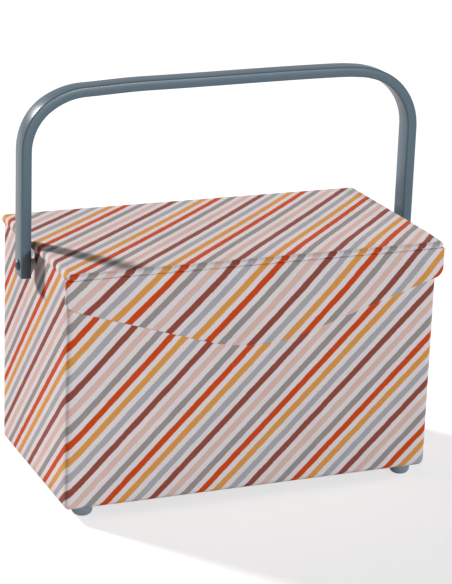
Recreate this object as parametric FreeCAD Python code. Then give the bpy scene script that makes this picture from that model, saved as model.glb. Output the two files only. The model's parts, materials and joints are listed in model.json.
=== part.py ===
import FreeCAD, Part
import math
import os

os.makedirs("parts", exist_ok=True)
Vector = FreeCAD.Vector

# A cloth-covered sewing box with a fold-over lid, a bail handle and a lift-out tray.
# All sizes are in millimetres and all angles in degrees.

# Body
body_length = 300.0
body_depth = 160.0
body_height = 182.0
corner_radius = 2.0
edge_bevel = 0.7
wall_thickness = 3.0
base_thickness = 5.0
cloth_thickness = 0.5
base_turn_in = 15.0
lining_thickness = 0.8
floor_pad_thickness = 3.0
floor_pad_play = 0.4

# Feet and their screws
foot_diameter = 16.0
foot_height = 8.0
foot_edge_radius = 4.5
foot_edge_steps = 2
foot_inset_x = 16.5
foot_inset_y = 11.0
foot_screw_diameter = 3.2
foot_screw_head_diameter = 6.2
foot_screw_head_depth = 1.6
foot_screw_bite = 5.5

# Lid
lid_overhang = 3.0
lid_gap = 0.4
lid_board_thickness = 3.0
lid_padding_thickness = 1.0
lid_corner_radius = 4.0
lid_top_round = 3.4
lid_turn_in = 7.0
lid_panel_thickness = 3.0
lid_panel_play = 3.0
lid_hinge_lap = 4.0

# Flap, drawn as it hangs in front of the body
flap_gap = 1.2
flap_board_thickness = 3.0
flap_drop = 69.0
flap_slope_angle = 17.6
flap_nose_radius = 142.0
flap_corner_radius = 8.0
flap_crease = 0.8

# Hidden closure
magnet_diameter = 12.0
magnet_thickness = 1.6
magnet_rise = 14.0

# Handle
handle_band = 8.0
handle_depth = 15.3
handle_reach = 138.0
handle_bend_radius = 50.0
handle_end = 9.0
handle_edge_bevel = 0.7
pivot_drop = 12.0

# Pivot hardware, one set on each short side
pivot_diameter = 5.0
pivot_head_diameter = 8.0
pivot_head_height = 2.2
pivot_head_edge = 0.5
spacer_length = 4.8
spacer_diameter = 13.0
washer_diameter = 12.0
washer_thickness = 1.0
nut_width = 8.0
nut_thickness = 4.0
nut_cap_height = 2.0
running_clearance = 0.05
side_play = 0.2

# Tray and the ledges that carry it
tray_end_play = 2.5
tray_side_play = 0.5
tray_height = 45.0
tray_wall = 1.8
tray_floor = 2.0
tray_draft_angle = 2.0
tray_corner_radius = 8.0
tray_lip = 2.2
tray_lip_thickness = 1.8
tray_pocket_radius = 5.0
tray_top_drop = 22.0
tray_notch_width = 34.0
tray_notch_depth = 14.0
ledge_width = 9.0
ledge_height = 12.0
ledge_end_play = 4.0

# Inside of the lid; the pocket and the pincushion share the lining panel inside its margin
inside_margin = 18.0
lid_pocket_length_share = 0.60
lid_pocket_depth_share = 0.84
lid_pocket_thickness = 2.2
lid_pocket_corner = 6.0
pincushion_length_share = 0.29
pincushion_depth_share = 0.49
pincushion_height = 8.0
pincushion_crown_radius = 110.0
pincushion_corner = 12.0

# Overrun of every cutting tool past the face it cuts, and how near counts as the same place
overrun = 5.0
near = 0.001

# Where things lie in height
base_z = foot_height
board_z = base_z + cloth_thickness
floor_z = board_z + base_thickness
rim_z = base_z + body_height
wall_top_z = rim_z - cloth_thickness
lid_z = rim_z + lid_gap
lid_thickness = 2 * cloth_thickness + lid_board_thickness + lid_padding_thickness
lid_top_z = lid_z + lid_thickness
flap_top_z = lid_z - flap_crease
pivot_z = rim_z - pivot_drop
tray_top_z = rim_z - tray_top_drop
tray_z = tray_top_z - tray_height

# Where things lie in depth; the frame's origin is under the middle of the whole outline
flap_thickness = 2 * cloth_thickness + flap_board_thickness
flap_reach = flap_gap + flap_thickness
middle_y = flap_reach / 2
front_y = middle_y - body_depth / 2
back_y = middle_y + body_depth / 2
flap_y = front_y - flap_reach
lid_back_y = back_y - cloth_thickness

# Half sizes and faces that several pieces share
half_length = body_length / 2
board_half = half_length - cloth_thickness
room_half = board_half - wall_thickness
room_front_y = front_y + cloth_thickness + wall_thickness
room_back_y = back_y - cloth_thickness - wall_thickness
lined_half = room_half - lining_thickness
lined_front_y = room_front_y + lining_thickness
lined_back_y = room_back_y - lining_thickness
lid_half = half_length + lid_overhang
handle_inner = half_length + spacer_length + side_play
handle_outer = handle_inner + handle_band
tray_half_x = lined_half - tray_end_play - tray_lip
tray_half_y = (lined_back_y - lined_front_y) / 2 - tray_side_play - tray_lip
panel_half_x = lined_half - lid_panel_play
panel_half_y = (lined_back_y - lined_front_y) / 2 - lid_panel_play
row_length = 2 * (panel_half_x - inside_margin)
row_depth = 2 * (panel_half_y - inside_margin)
row_back_y = middle_y + panel_half_y - inside_margin
pivot_radius = pivot_diameter / 2
pivot_hole_radius = pivot_radius + running_clearance
SIDES = (-1, 1)


def block(x_low, x_high, y_low, y_high, z_low, z_high):
    """A square-edged block between two corners."""
    size = (x_high - x_low, y_high - y_low, z_high - z_low)
    return Part.makeBox(*size, Vector(x_low, y_low, z_low))


def level_edges(shape, height):
    """The edges of a shape that lie in one level plane."""
    return [e for e in shape.Edges if all(abs(v.Z - height) < near for v in e.Vertexes)]


def rising_edges(shape):
    """The edges of a block that lead from its lower face to its upper one."""
    return [e for e in shape.Edges if abs(e.Vertexes[0].Z - e.Vertexes[-1].Z) > near]


def slab(x_half, y_low, y_high, z_low, z_high, radius):
    """A block centred on x = 0 with rounded upright corners."""
    plain = block(-x_half, x_half, y_low, y_high, z_low, z_high)
    return plain.makeFillet(radius, rising_edges(plain))


def rod(radius, start, direction, length):
    """A round bar from a start point along a direction."""
    return Part.makeCylinder(radius, length, start, direction)


def turned(profile, point, direction):
    """A closed profile of (radius, height) edges, turned about its height axis and set at a point."""
    face = Part.Face(Part.Wire(profile))
    body = face.revolve(Vector(0, 0, 0), Vector(0, 0, 1), 360)
    solid = Part.Solid(body) if body.ShapeType == "Shell" else body
    solid.Placement = FreeCAD.Placement(point, FreeCAD.Rotation(Vector(0, 0, 1), direction))
    return solid


def line(start, end):
    """A straight edge between two (x, z) points in the plane y = 0."""
    return Part.makeLine(Vector(start[0], 0, start[1]), Vector(end[0], 0, end[1]))


def arc(centre, radius, from_angle, to_angle):
    """A round edge about an (x, z) centre in the plane y = 0."""
    points = []
    for angle in (from_angle, (from_angle + to_angle) / 2, to_angle):
        turn = math.radians(angle)
        points.append(Vector(centre[0] + radius * math.cos(turn), 0, centre[1] + radius * math.sin(turn)))
    return Part.Arc(*points).toShape()


def on_arc(centre, radius, angle):
    """The (x, z) point of a circle at an angle."""
    turn = math.radians(angle)
    return (centre[0] + radius * math.cos(turn), centre[1] + radius * math.sin(turn))


def pressed(edges, y_low, y_high):
    """A solid pressed along y from a closed outline of edges in the plane y = 0."""
    outline = Part.Face(Part.Wire(Part.__sortEdges__(edges)))
    outline.translate(Vector(0, y_low, 0))
    return outline.extrude(Vector(0, y_high - y_low, 0))


def cut(shape, tools):
    """A shape with several tools taken away."""
    for tool in tools:
        shape = shape.cut(tool)
    return shape


def foot_places():
    """Centre of each foot."""
    reach_x = half_length - foot_inset_x
    reach_y = body_depth / 2 - foot_inset_y
    return [(side_x * reach_x, middle_y + side_y * reach_y) for side_x in SIDES for side_y in SIDES]


# Body: boards, cloth and lining

def pivot_holes():
    """Clearance holes for both pivot screws through everything on the short sides."""
    start = Vector(-half_length - overrun, middle_y, pivot_z)
    return rod(pivot_hole_radius, start, Vector(1, 0, 0), body_length + 2 * overrun)


def foot_screw_holes():
    """Clearance holes for the foot screws through the base and its cloth."""
    radius = foot_screw_diameter / 2 + running_clearance
    length = floor_z - base_z + overrun
    return [rod(radius, Vector(x, y, base_z - overrun), Vector(0, 0, 1), length) for x, y in foot_places()]


def foot_screw_head(x, y, spare):
    """The countersunk cone of a foot screw, with spare room round it."""
    top_radius = foot_screw_head_diameter / 2 + spare
    low_radius = foot_screw_diameter / 2 + spare
    foot = Vector(x, y, floor_z - foot_screw_head_depth)
    return Part.makeCone(low_radius, top_radius, foot_screw_head_depth, foot)


def make_base_board():
    """Floor of the body, with a countersunk hole over each foot."""
    outer = slab(board_half, front_y + cloth_thickness, back_y - cloth_thickness, board_z, floor_z,
                 corner_radius - cloth_thickness)
    sinks = [foot_screw_head(x, y, running_clearance) for x, y in foot_places()]
    return cut(outer, foot_screw_holes() + sinks)


def wall_stock():
    """The solid outline that the four wall boards are cut from."""
    return slab(board_half, front_y + cloth_thickness, back_y - cloth_thickness, floor_z, wall_top_z,
                corner_radius - cloth_thickness)


def make_front_board():
    """Front wall, with a pocket for the magnet on its outer side."""
    keep = block(-half_length, half_length, front_y, room_front_y, floor_z, rim_z)
    pocket = rod(magnet_diameter / 2 + running_clearance, Vector(0, front_y, magnet_z()), Vector(0, 1, 0),
                 cloth_thickness + magnet_thickness)
    return wall_stock().common(keep).cut(pocket)


def make_back_board():
    """Back wall, which carries the lid's cloth hinge."""
    keep = block(-half_length, half_length, room_back_y, back_y, floor_z, rim_z)
    return wall_stock().common(keep)


def make_side_board(side):
    """End wall, with the hole for the handle's pivot screw."""
    low, high = sorted((side * room_half, side * board_half))
    board = block(low, high, room_front_y, room_back_y, floor_z, wall_top_z)
    return board.cut(pivot_holes())


def make_body_cover():
    """Striped cloth round the walls, turned over the rim and under the base."""
    outer = slab(half_length, front_y, back_y, base_z, rim_z, corner_radius)
    outer = outer.makeChamfer(edge_bevel, level_edges(outer, base_z) + level_edges(outer, rim_z))
    inner = slab(board_half, front_y + cloth_thickness, back_y - cloth_thickness, board_z, wall_top_z,
                 corner_radius - cloth_thickness)
    mouth = block(-lined_half, lined_half, lined_front_y, lined_back_y, floor_z, rim_z + overrun)
    window = block(-half_length + base_turn_in, half_length - base_turn_in, front_y + base_turn_in,
                   back_y - base_turn_in, base_z - overrun, board_z)
    hinge_room = block(-half_length - overrun, half_length + overrun, lid_back_y, back_y + overrun,
                       wall_top_z - lid_hinge_lap, rim_z + overrun)
    return cut(outer, [inner, mouth, window, hinge_room, pivot_holes()] + foot_screw_holes())


def make_base_cover():
    """Plain sheet on the underside, inside the turned edge of the striped cloth."""
    sheet = block(-half_length + base_turn_in, half_length - base_turn_in, front_y + base_turn_in,
                  back_y - base_turn_in, base_z, board_z)
    return cut(sheet, foot_screw_holes())


def make_wall_lining():
    """Card and plain cloth inside the four walls."""
    outer = block(-room_half, room_half, room_front_y, room_back_y, floor_z, wall_top_z)
    inner = block(-lined_half, lined_half, lined_front_y, lined_back_y, floor_z - overrun, rim_z)
    return cut(outer, [inner, pivot_holes()])


def make_floor_pad():
    """Padded panel that lies loose on the floor of the box."""
    return slab(lined_half - floor_pad_play, lined_front_y + floor_pad_play, lined_back_y - floor_pad_play,
                floor_z, floor_z + floor_pad_thickness, corner_radius)


def make_tray_ledge(y_low, y_high):
    """A batten along a long wall that the tray rests on."""
    reach = lined_half - ledge_end_play
    return block(-reach, reach, y_low, y_high, tray_z - ledge_height, tray_z)


# Feet

def make_foot(x, y):
    """A moulded foot: a short cylinder with a large rounded edge and a blind screw hole."""
    radius = foot_diameter / 2
    edge = (radius - foot_edge_radius, foot_edge_radius)
    turns = [-90 + 90 * step / foot_edge_steps for step in range(foot_edge_steps + 1)]
    points = [(0, 0)] + [on_arc(edge, foot_edge_radius, turn) for turn in turns]
    points += [(radius, foot_height), (0, foot_height), (0, 0)]
    edges = [line(first, last) for first, last in zip(points, points[1:])]
    body = turned(edges, Vector(x, y, 0), Vector(0, 0, 1))
    hole = rod(foot_screw_diameter / 2 + running_clearance, Vector(x, y, base_z - foot_screw_bite),
               Vector(0, 0, 1), foot_screw_bite + overrun)
    return body.cut(hole)


def make_feet():
    """The four feet."""
    return Part.makeCompound([make_foot(x, y) for x, y in foot_places()])


def make_foot_screws():
    """Four countersunk screws, driven down from inside the box into the feet."""
    screws = []
    for x, y in foot_places():
        start = Vector(x, y, base_z - foot_screw_bite)
        shank = rod(foot_screw_diameter / 2, start, Vector(0, 0, 1), floor_z - base_z + foot_screw_bite)
        screws.append(shank.fuse(foot_screw_head(x, y, 0)).removeSplitter())
    return Part.makeCompound(screws)


# Lid

def lid_form(inset):
    """Outline of the lid, drawn in on all sides by an inset."""
    form = slab(lid_half - inset, flap_y + inset, lid_back_y - inset, lid_z + inset, lid_top_z - inset,
                lid_corner_radius - inset)
    form = form.makeFillet(lid_top_round - inset, level_edges(form, lid_top_z - inset))
    return form


def make_lid_board():
    """Stiff board of the lid, rounded off at its upper edges under the padding."""
    low = lid_z + cloth_thickness
    keep = block(-lid_half, lid_half, flap_y, lid_back_y, low, low + lid_board_thickness)
    return lid_form(cloth_thickness).common(keep)


def make_lid_padding():
    """Thin wadding between the lid board and its cloth."""
    low = lid_z + cloth_thickness + lid_board_thickness
    keep = block(-lid_half, lid_half, flap_y, lid_back_y, low, lid_top_z)
    return lid_form(cloth_thickness).common(keep)


def make_lid_cover():
    """Striped cloth over the lid, turned under on all sides."""
    form = lid_form(0)
    form = form.makeChamfer(edge_bevel, level_edges(form, lid_z))
    window = block(-lid_half + lid_turn_in, lid_half - lid_turn_in, flap_y + lid_turn_in,
                   lid_back_y - lid_turn_in, lid_z - overrun, lid_z + cloth_thickness)
    return cut(form, [lid_form(cloth_thickness), window])


def make_lid_panel():
    """Padded lining panel under the lid, which drops into the mouth of the box."""
    return slab(panel_half_x, middle_y - panel_half_y, middle_y + panel_half_y, lid_z - lid_panel_thickness,
                lid_z, lid_corner_radius)


def make_lid_pocket():
    """Gathered pocket, lying flat and empty against the lining panel."""
    length = row_length * lid_pocket_length_share
    depth = row_depth * lid_pocket_depth_share
    top = lid_z - lid_panel_thickness
    sheet = block(-row_length / 2, -row_length / 2 + length, row_back_y - depth, row_back_y,
                  top - lid_pocket_thickness, top)
    return sheet.makeFillet(lid_pocket_corner, rising_edges(sheet))


def make_pincushion():
    """Stuffed pad with a crowned face, sewn to the lining panel."""
    length = row_length * pincushion_length_share
    depth = row_depth * pincushion_depth_share
    top = lid_z - lid_panel_thickness
    pad = block(row_length / 2 - length, row_length / 2, row_back_y - depth, row_back_y,
                top - pincushion_height, top)
    pad = pad.makeFillet(pincushion_corner, rising_edges(pad))
    start = Vector(-half_length, row_back_y - depth / 2, top - pincushion_height + pincushion_crown_radius)
    return pad.common(rod(pincushion_crown_radius, start, Vector(1, 0, 0), body_length))


def make_lid_hinge_cloth():
    """Strip of striped cloth that joins the back wall's cloth to the lid's."""
    top = lid_top_z - lid_top_round
    return block(-half_length + corner_radius, half_length - corner_radius, lid_back_y, back_y,
                 wall_top_z - lid_hinge_lap, top)


# Flap

def flap_outline(inset):
    """Edges of the flap seen from the front: straight sides, sloping lower edges and a round nose."""
    slope = math.radians(flap_slope_angle)
    half = lid_half - inset
    nose = (0, lid_top_z - flap_drop + flap_nose_radius)
    corner_x = lid_half - flap_corner_radius
    span = corner_x * math.sin(slope) - (flap_nose_radius - flap_corner_radius)
    corner_z = nose[1] + span / math.cos(slope)
    nose_radius = flap_nose_radius - inset
    corner_radius_in = flap_corner_radius - inset
    right = flap_slope_angle - 90
    left = -90 - flap_slope_angle
    top = flap_top_z - inset
    return [
        line((-half, top), (half, top)),
        line((half, top), (half, corner_z)),
        arc((corner_x, corner_z), corner_radius_in, 0, right),
        line(on_arc((corner_x, corner_z), corner_radius_in, right), on_arc(nose, nose_radius, right)),
        arc(nose, nose_radius, right, left),
        line(on_arc(nose, nose_radius, left), on_arc((-corner_x, corner_z), corner_radius_in, left)),
        arc((-corner_x, corner_z), corner_radius_in, left, -180),
        line((-half, corner_z), (-half, top)),
    ]


def magnet_z():
    """Height of the closure magnets, a little above the nose of the flap."""
    return lid_top_z - flap_drop + magnet_rise


def front_edges(shape, y):
    """The edges of a shape that lie in one plane of constant y."""
    return [e for e in shape.Edges if all(abs(v.Y - y) < near for v in e.Vertexes)]


def make_flap_board():
    """Stiff board of the flap, with a pocket for the magnet on its inner side."""
    low = flap_y + cloth_thickness
    high = low + flap_board_thickness
    board = pressed(flap_outline(cloth_thickness), low, high)
    pocket = rod(magnet_diameter / 2 + running_clearance, Vector(0, high - magnet_thickness, magnet_z()),
                 Vector(0, 1, 0), magnet_thickness)
    return board.cut(pocket)


def make_flap_cover():
    """Striped cloth over the front and edges of the flap board."""
    high = flap_y + cloth_thickness + flap_board_thickness
    form = pressed(flap_outline(0), flap_y, high)
    form = form.makeChamfer(edge_bevel, front_edges(form, flap_y))
    return form.cut(pressed(flap_outline(cloth_thickness), flap_y + cloth_thickness, high))


def make_flap_lining():
    """Plain cloth on the inner side of the flap."""
    low = flap_y + cloth_thickness + flap_board_thickness
    return pressed(flap_outline(0), low, low + cloth_thickness)


def make_flap_hinge_cloth():
    """Web of cloth in the crease between lid and flap."""
    reach = lid_half - lid_corner_radius
    low = flap_y + edge_bevel
    return block(-reach, reach, low, low + flap_board_thickness / 2, flap_top_z, lid_z)


def magnet(y):
    """A disc magnet whose front face lies at y."""
    return rod(magnet_diameter / 2, Vector(0, y, magnet_z()), Vector(0, 1, 0), magnet_thickness)


# Handle and pivots

def make_handle():
    """Moulded bail: a flat band bent round two equal corners, with a bore in each leg."""
    top = pivot_z + handle_reach
    foot = pivot_z - handle_end
    bend_x = handle_outer - handle_bend_radius
    bend_z = top - handle_bend_radius
    inner_radius = handle_bend_radius - handle_band
    edges = [
        line((handle_outer, foot), (handle_outer, bend_z)),
        arc((bend_x, bend_z), handle_bend_radius, 0, 90),
        line((bend_x, top), (-bend_x, top)),
        arc((-bend_x, bend_z), handle_bend_radius, 90, 180),
        line((-handle_outer, bend_z), (-handle_outer, foot)),
        line((-handle_outer, foot), (-handle_inner, foot)),
        line((-handle_inner, foot), (-handle_inner, bend_z)),
        arc((-bend_x, bend_z), inner_radius, 180, 90),
        line((-bend_x, top - handle_band), (bend_x, top - handle_band)),
        arc((bend_x, bend_z), inner_radius, 90, 0),
        line((handle_inner, bend_z), (handle_inner, foot)),
        line((handle_inner, foot), (handle_outer, foot)),
    ]
    band = pressed(edges, middle_y - handle_depth / 2, middle_y + handle_depth / 2)
    band = band.makeChamfer(handle_edge_bevel, band.Edges)
    bore = rod(pivot_hole_radius, Vector(-handle_outer - overrun, middle_y, pivot_z), Vector(1, 0, 0),
               2 * (handle_outer + overrun))
    return band.cut(bore)


def pivot_point(side, x):
    """A point on a pivot's axis, a distance x out from the middle of the box."""
    return Vector(side * x, middle_y, pivot_z)


def pivot_end():
    """Distance from the middle of the box to the inner face of the washers."""
    return lined_half - washer_thickness


def make_pivot_screws():
    """Two screws with low domed heads, each through leg, spacer, wall and washer."""
    head_x = handle_outer + side_play
    radius = pivot_head_diameter / 2
    dome = pivot_head_height - pivot_head_edge
    dome_radius = (radius ** 2 + dome ** 2) / (2 * dome)
    dome_z = pivot_head_height - dome_radius
    rim_angle = math.degrees(math.asin((pivot_head_edge - dome_z) / dome_radius))
    profile = [
        line((0, 0), (radius, 0)),
        line((radius, 0), (radius, pivot_head_edge)),
        arc((0, dome_z), dome_radius, rim_angle, 90),
        line((0, pivot_head_height), (0, 0)),
    ]
    screws = []
    for side in SIDES:
        head = turned(profile, pivot_point(side, head_x), Vector(side, 0, 0))
        length = head_x - pivot_end() + nut_thickness
        shank = rod(pivot_radius, pivot_point(side, head_x), Vector(-side, 0, 0), length)
        screws.append(head.fuse(shank))
    return Part.makeCompound(screws)


def ring(side, x, radius, length):
    """A round collar on a pivot's axis that reaches inwards from x."""
    outer = rod(radius, pivot_point(side, x), Vector(-side, 0, 0), length)
    return outer.cut(rod(pivot_hole_radius, pivot_point(side, x), Vector(-side, 0, 0), length))


def make_handle_spacers():
    """Two collars that hold the legs of the handle clear of the cloth."""
    collars = [ring(s, half_length + spacer_length, spacer_diameter / 2, spacer_length) for s in SIDES]
    return Part.makeCompound(collars)


def make_pivot_washers():
    """Two washers on the lining, under the cap nuts."""
    return Part.makeCompound([ring(s, lined_half, washer_diameter / 2, washer_thickness) for s in SIDES])


def make_pivot_nuts():
    """Two cap nuts inside the box: a hexagon with a tapered end."""
    corner = nut_width / 2 / math.cos(math.radians(30))
    nuts = []
    for side in SIDES:
        points = []
        for step in range(7):
            turn = math.radians(60 * step)
            points.append(Vector(side * pivot_end(), middle_y + corner * math.cos(turn),
                                 pivot_z + corner * math.sin(turn)))
        prism = Part.Face(Part.makePolygon(points)).extrude(Vector(-side * nut_thickness, 0, 0))
        bore = rod(pivot_hole_radius, pivot_point(side, pivot_end()), Vector(-side, 0, 0), nut_thickness)
        cap = Part.makeCone(nut_width / 2, pivot_radius, nut_cap_height,
                            pivot_point(side, pivot_end() - nut_thickness), Vector(-side, 0, 0))
        nuts.append(prism.cut(bore).fuse(cap))
    return Part.makeCompound(nuts)


# Tray

def tapered(x_low, x_high, y_low, y_high, z_low, z_high, radius):
    """A block with rounded upright corners whose sides lean out towards the top by the draft angle."""
    lean = (z_high - z_low) * math.tan(math.radians(tray_draft_angle))
    wedge = Part.makeWedge(x_low + lean, z_low, -y_high + lean, -y_high, x_low,
                           x_high - lean, z_high, -y_low - lean, -y_low, x_high)
    wedge.rotate(Vector(0, 0, 0), Vector(1, 0, 0), 90)
    return wedge.makeFillet(radius, rising_edges(wedge))


# Compartments of the tray as shares of its length and depth: low x, high x, low y, high y
compartment_shares = (
    (0.00, 0.62, 0.56, 1.00),
    (0.62, 1.00, 0.56, 1.00),
    (0.00, 0.25, 0.00, 0.56),
    (0.25, 0.50, 0.00, 0.56),
    (0.50, 0.75, 0.00, 0.56),
    (0.75, 1.00, 0.00, 0.56),
)


def tray_compartments():
    """Low and high corners of each compartment's mouth, a wall apart from its neighbours."""
    length = 2 * tray_half_x - tray_wall
    depth = 2 * tray_half_y - tray_wall
    spaces = []
    for low_x, high_x, low_y, high_y in compartment_shares:
        spaces.append((
            -length / 2 + low_x * length + tray_wall / 2,
            -length / 2 + high_x * length - tray_wall / 2,
            middle_y - depth / 2 + low_y * depth + tray_wall / 2,
            middle_y - depth / 2 + high_y * depth - tray_wall / 2,
        ))
    return spaces


def make_tray():
    """Moulded lift-out tray: drafted walls, a lip, drafted compartments and two hand notches."""
    shell = tapered(-tray_half_x, tray_half_x, middle_y - tray_half_y, middle_y + tray_half_y, tray_z,
                    tray_top_z, tray_corner_radius)
    lip = slab(tray_half_x + tray_lip, middle_y - tray_half_y - tray_lip, middle_y + tray_half_y + tray_lip,
               tray_top_z - tray_lip_thickness, tray_top_z, tray_corner_radius + tray_lip)
    tray = shell.fuse(lip)
    for x_low, x_high, y_low, y_high in tray_compartments():
        tray = tray.cut(tapered(x_low, x_high, y_low, y_high, tray_z + tray_floor, tray_top_z,
                                tray_pocket_radius))
    for side in SIDES:
        tray = tray.cut(tray_notch(side))
    return tray


def tray_notch(side):
    """The dip in a short wall where fingers lift the tray, which also passes the pivot nut."""
    depth = 2 * (tray_wall + tray_lip) + tray_notch_depth * math.tan(math.radians(tray_draft_angle))
    low, high = sorted((side * (tray_half_x + tray_lip + overrun), side * (tray_half_x + tray_lip - depth)))
    tool = block(low, high, middle_y - tray_notch_width / 2, middle_y + tray_notch_width / 2,
                 tray_top_z - tray_notch_depth, tray_top_z + overrun)
    along = [e for e in level_edges(tool, tray_top_z - tray_notch_depth)
             if abs(e.Vertexes[0].X - e.Vertexes[-1].X) > tray_wall]
    return tool.makeFillet(tray_pocket_radius, along)


def build():
    """Every piece of the box by name."""
    return {
        "base_board": make_base_board(),
        "front_board": make_front_board(),
        "back_board": make_back_board(),
        "left_board": make_side_board(-1),
        "right_board": make_side_board(1),
        "body_cover": make_body_cover(),
        "base_cover": make_base_cover(),
        "wall_lining": make_wall_lining(),
        "floor_pad": make_floor_pad(),
        "tray_ledge_front": make_tray_ledge(lined_front_y, lined_front_y + ledge_width),
        "tray_ledge_back": make_tray_ledge(lined_back_y - ledge_width, lined_back_y),
        "foot_screws": make_foot_screws(),
        "box_magnet": magnet(front_y + cloth_thickness),
        "lid_board": make_lid_board(),
        "lid_padding": make_lid_padding(),
        "lid_cover": make_lid_cover(),
        "lid_panel": make_lid_panel(),
        "lid_pocket": make_lid_pocket(),
        "pincushion": make_pincushion(),
        "lid_hinge_cloth": make_lid_hinge_cloth(),
        "flap_board": make_flap_board(),
        "flap_cover": make_flap_cover(),
        "flap_lining": make_flap_lining(),
        "flap_magnet": magnet(flap_y + cloth_thickness + flap_board_thickness - magnet_thickness),
        "flap_hinge_cloth": make_flap_hinge_cloth(),
        "handle": make_handle(),
        "handle_spacers": make_handle_spacers(),
        "pivot_screws": make_pivot_screws(),
        "pivot_washers": make_pivot_washers(),
        "pivot_nuts": make_pivot_nuts(),
        "tray": make_tray(),
        "feet": make_feet(),
    }


for name, shape in build().items():
    print(name, "solids", len(shape.Solids), "volume", round(shape.Volume), "valid", shape.isValid())
    shape.exportStep("parts/" + name + ".step")
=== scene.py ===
import bpy
import bmesh
import json
import math
from mathutils import Matrix, Vector, noise

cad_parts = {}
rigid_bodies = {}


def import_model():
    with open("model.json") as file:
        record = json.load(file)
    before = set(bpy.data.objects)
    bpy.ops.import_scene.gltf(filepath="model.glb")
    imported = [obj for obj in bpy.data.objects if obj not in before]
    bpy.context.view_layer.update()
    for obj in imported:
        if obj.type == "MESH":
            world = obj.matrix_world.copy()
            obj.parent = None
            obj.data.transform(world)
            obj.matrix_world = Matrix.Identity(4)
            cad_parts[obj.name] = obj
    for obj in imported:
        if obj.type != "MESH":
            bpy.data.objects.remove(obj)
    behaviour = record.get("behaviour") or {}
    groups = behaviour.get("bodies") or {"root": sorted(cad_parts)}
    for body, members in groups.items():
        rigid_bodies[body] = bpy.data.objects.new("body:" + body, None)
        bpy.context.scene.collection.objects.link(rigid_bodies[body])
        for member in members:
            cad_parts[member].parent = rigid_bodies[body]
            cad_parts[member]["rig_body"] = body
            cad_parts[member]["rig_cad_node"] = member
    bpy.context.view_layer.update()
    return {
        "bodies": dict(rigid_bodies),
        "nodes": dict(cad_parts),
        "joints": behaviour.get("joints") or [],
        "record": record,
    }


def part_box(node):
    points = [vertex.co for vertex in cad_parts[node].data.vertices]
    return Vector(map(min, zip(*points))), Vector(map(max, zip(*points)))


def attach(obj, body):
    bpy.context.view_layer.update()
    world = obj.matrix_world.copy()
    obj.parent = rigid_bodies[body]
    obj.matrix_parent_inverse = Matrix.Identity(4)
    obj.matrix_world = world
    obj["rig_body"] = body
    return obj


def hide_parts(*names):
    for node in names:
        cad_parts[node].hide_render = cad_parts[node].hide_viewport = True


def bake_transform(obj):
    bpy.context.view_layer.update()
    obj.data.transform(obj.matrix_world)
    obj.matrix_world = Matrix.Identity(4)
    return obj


# Looks of the cloth-covered sewing box: striped cloth, linings, pads, handle, feet, tray and light.
# All sizes are in metres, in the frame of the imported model.

MM = 0.001

# How near two places have to be to count as one
MERGE = 1e-6
NEAR = 1e-5
CLOSE = 1e-4

# How square a face or an edge has to be to count as level or upright, the slack of a turn, and how sharp an
# edge has to be to get rounded
SQUARE = 0.99
MOSTLY = 0.8
TURN_SLACK = 0.01
SHARP = math.radians(50)

# The plain finishes, each as a main tone and the darker one that it varies to
LINING_TONES = ((0.80, 0.79, 0.78), (0.72, 0.71, 0.70))
PINCUSHION_TONES = ((0.36, 0.43, 0.48), (0.30, 0.37, 0.42))
HANDLE_TONES = ((0.080, 0.138, 0.180), (0.073, 0.127, 0.166))
# The feet's tones are paler than the handle's plastic: painted light, reflected up from the floor
FOOT_TONES_WITH_FLOOR_LIGHT = ((0.20, 0.25, 0.31), (0.18, 0.23, 0.285))
TRAY_TONES = ((0.75, 0.77, 0.78), (0.70, 0.72, 0.73))
SCREW_PAINT = (0.07, 0.105, 0.13)
BARE_STEEL = (0.60, 0.60, 0.60)

# Stripes of the printed cloth, each with its middle along the repeat and its colour
STRIPE_REPEAT = 0.079
STRIPE_WIDTH = 0.0070
STRIPE_BLUR = 0.0005
GROUND = (0.785, 0.74, 0.755)
STRIPES = (
    (0.0106, (0.71, 0.51, 0.45)),
    (0.0237, (0.32, 0.30, 0.29)),
    (0.0369, (0.60, 0.066, 0.004)),
    (0.0500, (0.72, 0.33, 0.075)),
    (0.0632, (0.41, 0.42, 0.45)),
    (0.0764, (0.285, 0.070, 0.047)),
)
THREAD = 0.00045
LINING_THREAD = 0.0006

# Where the stripes start on the lid and flap, whose cloth is turned half round
TURNED_CLOTH_START = 0.0273

# How unevenly the stripes are printed: how far an edge strays, and how large the patches are
PRINT_WANDER = 0.0008
PRINT_WANDER_PATCH = 0.012
PRINT_FUZZ = 0.0006
PRINT_FUZZ_PATCH = 0.0011
PRINT_WEAR_PATCH = 0.0018
PRINT_SHADE_PATCH = 0.035

# The print isn't glued on quite straight. How far it is drawn aside on each face, in millimetres,
# goes by x and y, in tenths of a metre along and up or back: 1, x, x * x, y, y * y, x * y.
# These factors were fitted to the stripes in the photograph.
PER_TENTH = 10
FRONT_DRIFT = (1.96, 0.50, -0.46, -3.82, 1.69, -0.42)
LEFT_DRIFT = (3.93, -4.07, -4.62, -5.18, 2.31, 0.79)
LID_DRIFT = (-0.68, 0.05, 2.76, -4.38, -0.68, 0.06)
FLAP_DRIFT = (-1.84, -2.42, 3.05)

# How far from an edge the drift of one face passes into the next, and fades out on the right side
CORNER_PASSING = 0.008
CREASE_PASSING = 0.03
RIGHT_SIDE_FADE = 0.06

# Cloth over body, lid and flap: its thickness, its roundings, its turned edges and the lid's dip
CLOTH = 0.0005
BODY_CORNER = 0.004
BODY_FOOT_ROUND = 0.004
BODY_RIM_ROUND = 0.0009
MOUTH_TURN_IN = 0.0043
BASE_TURN_IN = 0.015
LID_CORNER = 0.004
LID_ROUND = 0.0034
FRONT_DIP = 0.0012
DIP_LENGTH = 0.050
DIP_START_HEIGHT = 0.001
DIP_FULL_HEIGHT = 0.003
LID_TURN_IN = 0.012
LID_HEM_ROUND = 0.0007

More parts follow.
